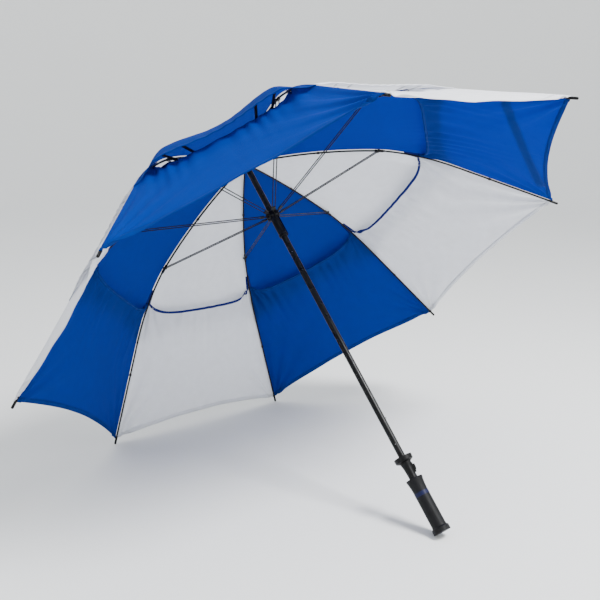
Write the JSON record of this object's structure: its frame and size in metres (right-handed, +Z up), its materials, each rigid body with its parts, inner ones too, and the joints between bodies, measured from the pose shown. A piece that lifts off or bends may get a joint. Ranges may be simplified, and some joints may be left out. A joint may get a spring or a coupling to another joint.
{
  "type": "golf umbrella",
  "caption": "Open golf umbrella with a vented double canopy in blue and white sectors, a sliding runner, folding ribs, spring catches and a straight grip.",
  "frame": {"origin": "on the floor, under the middle of the box round the whole open umbrella", "axes": "+Z up, +Y the level direction that the shaft leans towards as it rises from grip to crown, +X to the right seen from behind the grip, square to the shaft"},
  "size_m": [1.2214, 0.8954, 0.8556],
  "materials": {
    "shaft": "satin black painted tube",
    "moulded_black": "moulded, fine texture",
    "wire": "plain drawn wire",
    "spring_steel": "plain spring steel",
    "grip_rubber": "soft matte foam rubber",
    "blue_band": "dark blue ring",
    "blue_cloth": "royal blue plain-weave polyester",
    "white_cloth": "white plain-weave polyester",
    "rib_rod": "pultruded black glass fibre",
    "stretcher_wire": "black painted steel"
  },
  "bodies": {
    "root": {"shaft_tube": "shaft", "ferrule": "moulded_black", "crown_notch": "moulded_black", "rib_pivot_wire": "wire", "crown_cap": "moulded_black", "tip_cup": "moulded_black", "button_collar": "moulded_black", "grip": "grip_rubber", "grip_band": "blue_band", "grip_end_plug": "moulded_black", "catch_pins": "spring_steel", "catch_springs": "spring_steel", "button_spring": "spring_steel"},
    "runner": {"runner": "moulded_black", "stretcher_pivot_wire": "wire"},
    "open_catch": {"open_catch": "spring_steel"},
    "closed_catch": {"closed_catch": "spring_steel"},
    "release_button": {"release_button": "moulded_black"},
    "rib_inner_1": {"rib_inner_1": "rib_rod", "upper_panel_1": "blue_cloth"},
    "rib_outer_1": {"rib_outer_1": "rib_rod", "lower_panel_1": "blue_cloth"},
    "stretcher_1": {"stretcher_1": "stretcher_wire"},
    "rib_inner_2": {"rib_inner_2": "rib_rod", "upper_panel_2": "white_cloth"},
    "rib_outer_2": {"rib_outer_2": "rib_rod", "lower_panel_2": "white_cloth"},
    "stretcher_2": {"stretcher_2": "stretcher_wire"},
    "rib_inner_3": {"rib_inner_3": "rib_rod", "upper_panel_3": "blue_cloth"},
    "rib_outer_3": {"rib_outer_3": "rib_rod", "lower_panel_3": "blue_cloth"},
    "stretcher_3": {"stretcher_3": "stretcher_wire"},
    "rib_inner_4": {"rib_inner_4": "rib_rod", "upper_panel_4": "white_cloth"},
    "rib_outer_4": {"rib_outer_4": "rib_rod", "lower_panel_4": "white_cloth"},
    "stretcher_4": {"stretcher_4": "stretcher_wire"},
    "rib_inner_5": {"rib_inner_5": "rib_rod", "upper_panel_5": "blue_cloth"},
    "rib_outer_5": {"rib_outer_5": "rib_rod", "lower_panel_5": "blue_cloth", "closing_strap": "blue_cloth"},
    "stretcher_5": {"stretcher_5": "stretcher_wire"},
    "rib_inner_6": {"rib_inner_6": "rib_rod", "upper_panel_6": "white_cloth"},
    "rib_outer_6": {"rib_outer_6": "rib_rod", "lower_panel_6": "white_cloth"},
    "stretcher_6": {"stretcher_6": "stretcher_wire"},
    "rib_inner_7": {"rib_inner_7": "rib_rod", "upper_panel_7": "blue_cloth"},
    "rib_outer_7": {"rib_outer_7": "rib_rod", "lower_panel_7": "blue_cloth"},
    "stretcher_7": {"stretcher_7": "stretcher_wire"},
    "rib_inner_8": {"rib_inner_8": "rib_rod", "upper_panel_8": "white_cloth"},
    "rib_outer_8": {"rib_outer_8": "rib_rod", "lower_panel_8": "white_cloth"},
    "stretcher_8": {"stretcher_8": "stretcher_wire"}
  },
  "joints": [
    {"name": "runner_slide", "type": "slide", "parent": "root", "child": "runner", "axis": [0, -0.6838, -0.7296], "range_m": [0, 0.47688]},
    {"name": "rib_fold_1", "type": "hinge", "parent": "root", "child": "rib_inner_1", "pos_m": [-0.01109, 0.24769, 0.67751], "axis": [-0.3827, -0.6741, 0.6318], "range_deg": [0, 72.79], "deforming": ["upper_panel_1"]},
    {"name": "rib_flex_1", "type": "hinge", "parent": "rib_inner_1", "child": "rib_outer_1", "pos_m": [-0.30356, 0.28242, 0.53741], "axis": [0.3827, 0.6741, -0.6318], "range_deg": [0, 21.04], "deforming": ["lower_panel_1"]},
    {"name": "stretcher_fold_1", "type": "hinge", "parent": "runner", "child": "stretcher_1", "pos_m": [-0.01109, 0.14755, 0.57066], "axis": [0.3827, 0.6741, -0.6318], "range_deg": [0, 72.79]},
    {"name": "rib_fold_2", "type": "hinge", "parent": "root", "child": "rib_inner_2", "pos_m": [-0.00459, 0.25243, 0.67307], "axis": [-0.9239, -0.2792, 0.2617], "range_deg": [0, 72.79], "deforming": ["upper_panel_2"]},
    {"name": "rib_flex_2", "type": "hinge", "parent": "rib_inner_2", "child": "rib_outer_2", "pos_m": [-0.12574, 0.41217, 0.4158], "axis": [0.9239, 0.2792, -0.2617], "range_deg": [0, 21.04], "deforming": ["lower_panel_2"]},
    {"name": "stretcher_fold_2", "type": "hinge", "parent": "runner", "child": "stretcher_2", "pos_m": [-0.00459, 0.15228, 0.56621], "axis": [0.9239, 0.2792, -0.2617], "range_deg": [0, 72.79]},
    {"name": "rib_fold_3", "type": "hinge", "parent": "root", "child": "rib_inner_3", "pos_m": [0.00459, 0.25243, 0.67307], "axis": [-0.9239, 0.2792, -0.2617], "range_deg": [0, 72.79], "deforming": ["upper_panel_3"]},
    {"name": "rib_flex_3", "type": "hinge", "parent": "rib_inner_3", "child": "rib_outer_3", "pos_m": [0.12574, 0.41217, 0.4158], "axis": [0.9239, -0.2792, 0.2617], "range_deg": [0, 21.04], "deforming": ["lower_panel_3"]},
    {"name": "stretcher_fold_3", "type": "hinge", "parent": "runner", "child": "stretcher_3", "pos_m": [0.00459, 0.15228, 0.56621], "axis": [0.9239, -0.2792, 0.2617], "range_deg": [0, 72.79]},
    {"name": "rib_fold_4", "type": "hinge", "parent": "root", "child": "rib_inner_4", "pos_m": [0.01109, 0.24769, 0.67751], "axis": [-0.3827, 0.6741, -0.6318], "range_deg": [0, 72.79], "deforming": ["upper_panel_4"]},
    {"name": "rib_flex_4", "type": "hinge", "parent": "rib_inner_4", "child": "rib_outer_4", "pos_m": [0.30356, 0.28242, 0.53741], "axis": [0.3827, -0.6741, 0.6318], "range_deg": [0, 21.04], "deforming": ["lower_panel_4"]},
    {"name": "stretcher_fold_4", "type": "hinge", "parent": "runner", "child": "stretcher_4", "pos_m": [0.01109, 0.14755, 0.57066], "axis": [0.3827, -0.6741, 0.6318], "range_deg": [0, 72.79]},
    {"name": "rib_fold_5", "type": "hinge", "parent": "root", "child": "rib_inner_5", "pos_m": [0.01109, 0.24099, 0.68379], "axis": [0.3827, 0.6741, -0.6318], "range_deg": [0, 72.79], "deforming": ["upper_panel_5"]},
    {"name": "rib_flex_5", "type": "hinge", "parent": "rib_inner_5", "child": "rib_outer_5", "pos_m": [0.30356, 0.09894, 0.70938], "axis": [-0.3827, -0.6741, 0.6318], "range_deg": [0, 21.04], "deforming": ["lower_panel_5", "closing_strap"]},
    {"name": "stretcher_fold_5", "type": "hinge", "parent": "runner", "child": "stretcher_5", "pos_m": [0.01109, 0.14084, 0.57694], "axis": [-0.3827, -0.6741, 0.6318], "range_deg": [0, 72.79]},
    {"name": "rib_fold_6", "type": "hinge", "parent": "root", "child": "rib_inner_6", "pos_m": [0.00459, 0.23625, 0.68823], "axis": [0.9239, 0.2792, -0.2617], "range_deg": [0, 72.79], "deforming": ["upper_panel_6"]},
    {"name": "rib_flex_6", "type": "hinge", "parent": "rib_inner_6", "child": "rib_outer_6", "pos_m": [0.12574, -0.03081, 0.83099], "axis": [-0.9239, -0.2792, 0.2617], "range_deg": [0, 21.04], "deforming": ["lower_panel_6"]},
    {"name": "stretcher_fold_6", "type": "hinge", "parent": "runner", "child": "stretcher_6", "pos_m": [0.00459, 0.13611, 0.58138], "axis": [-0.9239, -0.2792, 0.2617], "range_deg": [0, 72.79]},
    {"name": "rib_fold_7", "type": "hinge", "parent": "root", "child": "rib_inner_7", "pos_m": [-0.00459, 0.23625, 0.68823], "axis": [0.9239, -0.2792, 0.2617], "range_deg": [0, 72.79], "deforming": ["upper_panel_7"]},
    {"name": "rib_flex_7", "type": "hinge", "parent": "rib_inner_7", "child": "rib_outer_7", "pos_m": [-0.12574, -0.03081, 0.83099], "axis": [-0.9239, 0.2792, -0.2617], "range_deg": [0, 21.04], "deforming": ["lower_panel_7"]},
    {"name": "stretcher_fold_7", "type": "hinge", "parent": "runner", "child": "stretcher_7", "pos_m": [-0.00459, 0.13611, 0.58138], "axis": [-0.9239, 0.2792, -0.2617], "range_deg": [0, 72.79]},
    {"name": "rib_fold_8", "type": "hinge", "parent": "root", "child": "rib_inner_8", "pos_m": [-0.01109, 0.24099, 0.68379], "axis": [0.3827, -0.6741, 0.6318], "range_deg": [0, 72.79], "deforming": ["upper_panel_8"]},
    {"name": "rib_flex_8", "type": "hinge", "parent": "rib_inner_8", "child": "rib_outer_8", "pos_m": [-0.30356, 0.09894, 0.70938], "axis": [-0.3827, 0.6741, -0.6318], "range_deg": [0, 21.04], "deforming": ["lower_panel_8"]},
    {"name": "stretcher_fold_8", "type": "hinge", "parent": "runner", "child": "stretcher_8", "pos_m": [-0.01109, 0.14084, 0.57694], "axis": [-0.3827, 0.6741, -0.6318], "range_deg": [0, 72.79]},
    {"name": "open_catch_press", "type": "slide", "parent": "root", "child": "open_catch", "axis": [-0.7071, 0.5159, -0.4836], "range_m": [0, 0.0025], "stiffness_N_per_m": 400, "deforming": ["catch_springs"]},
    {"name": "closed_catch_press", "type": "slide", "parent": "root", "child": "closed_catch", "axis": [-0.7071, 0.5159, -0.4836], "range_m": [0, 0.0025], "stiffness_N_per_m": 400, "deforming": ["catch_springs"]},
    {"name": "release_button_press", "type": "slide", "parent": "root", "child": "release_button", "axis": [-0.7071, 0.5159, -0.4836], "range_m": [0, 0.002], "stiffness_N_per_m": 600, "deforming": ["button_spring"]}
  ],
  "couplings": [
    {"joint": "rib_fold_1", "follows": "runner_slide", "rad_per_m": 2.6633},
    {"joint": "rib_flex_1", "follows": "runner_slide", "rad_per_m": 0.76941},
    {"joint": "stretcher_fold_1", "follows": "runner_slide", "rad_per_m": 2.6633},
    {"joint": "rib_fold_2", "follows": "runner_slide", "rad_per_m": 2.6633},
    {"joint": "rib_flex_2", "follows": "runner_slide", "rad_per_m": 0.76941},
    {"joint": "stretcher_fold_2", "follows": "runner_slide", "rad_per_m": 2.6633},
    {"joint": "rib_fold_3", "follows": "runner_slide", "rad_per_m": 2.6633},
    {"joint": "rib_flex_3", "follows": "runner_slide", "rad_per_m": 0.76941},
    {"joint": "stretcher_fold_3", "follows": "runner_slide", "rad_per_m": 2.6633},
    {"joint": "rib_fold_4", "follows": "runner_slide", "rad_per_m": 2.6633},
    {"joint": "rib_flex_4", "follows": "runner_slide", "rad_per_m": 0.76941},
    {"joint": "stretcher_fold_4", "follows": "runner_slide", "rad_per_m": 2.6633},
    {"joint": "rib_fold_5", "follows": "runner_slide", "rad_per_m": 2.6633},
    {"joint": "rib_flex_5", "follows": "runner_slide", "rad_per_m": 0.76941},
    {"joint": "stretcher_fold_5", "follows": "runner_slide", "rad_per_m": 2.6633},
    {"joint": "rib_fold_6", "follows": "runner_slide", "rad_per_m": 2.6633},
    {"joint": "rib_flex_6", "follows": "runner_slide", "rad_per_m": 0.76941},
    {"joint": "stretcher_fold_6", "follows": "runner_slide", "rad_per_m": 2.6633},
    {"joint": "rib_fold_7", "follows": "runner_slide", "rad_per_m": 2.6633},
    {"joint": "rib_flex_7", "follows": "runner_slide", "rad_per_m": 0.76941},
    {"joint": "stretcher_fold_7", "follows": "runner_slide", "rad_per_m": 2.6633},
    {"joint": "rib_fold_8", "follows": "runner_slide", "rad_per_m": 2.6633},
    {"joint": "rib_flex_8", "follows": "runner_slide", "rad_per_m": 0.76941},
    {"joint": "stretcher_fold_8", "follows": "runner_slide", "rad_per_m": 2.6633}
  ]
}
